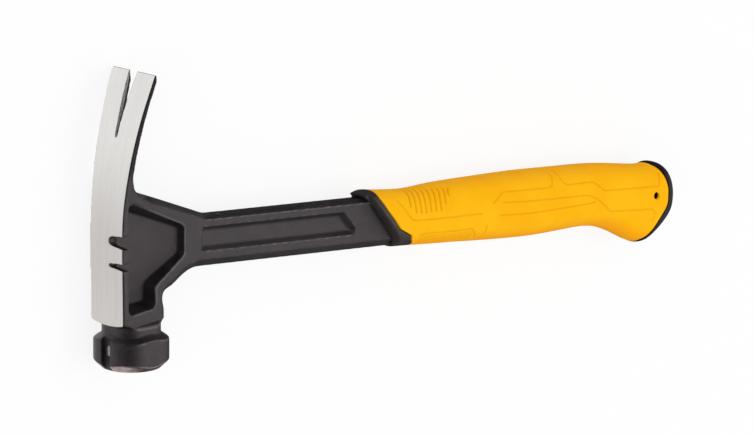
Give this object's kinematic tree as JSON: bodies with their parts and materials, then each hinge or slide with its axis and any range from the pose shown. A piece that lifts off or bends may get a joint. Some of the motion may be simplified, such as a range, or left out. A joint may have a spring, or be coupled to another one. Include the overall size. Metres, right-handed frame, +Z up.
{
  "type": "framing hammer",
  "caption": "Framing hammer forged in one piece, with a straight rip claw, side nail notches, a magnetic nail-starter groove and a moulded rubber grip with a flared butt.",
  "frame": {"origin": "centre of the hammer's outline seen from above, at the height of the poll's lower flat: the hammer lies on its side", "axes": "+X from the head to the butt of the handle, +Y from the striking face to the claw tips, +Z up, on the side that has the nail-pulling notches"},
  "size_m": [0.3812, 0.1455, 0.033],
  "materials": {
    "coated_steel": "satin",
    "magnet": "satin",
    "core_black": "matte",
    "grip_yellow": "matte",
    "cap_black": "matte"
  },
  "bodies": {
    "root": {"forged_body": "coated_steel", "nail_magnet": "magnet", "grip_core": "core_black", "grip_sleeve": "grip_yellow", "butt_cap": "cap_black"}
  },
  "joints": []
}
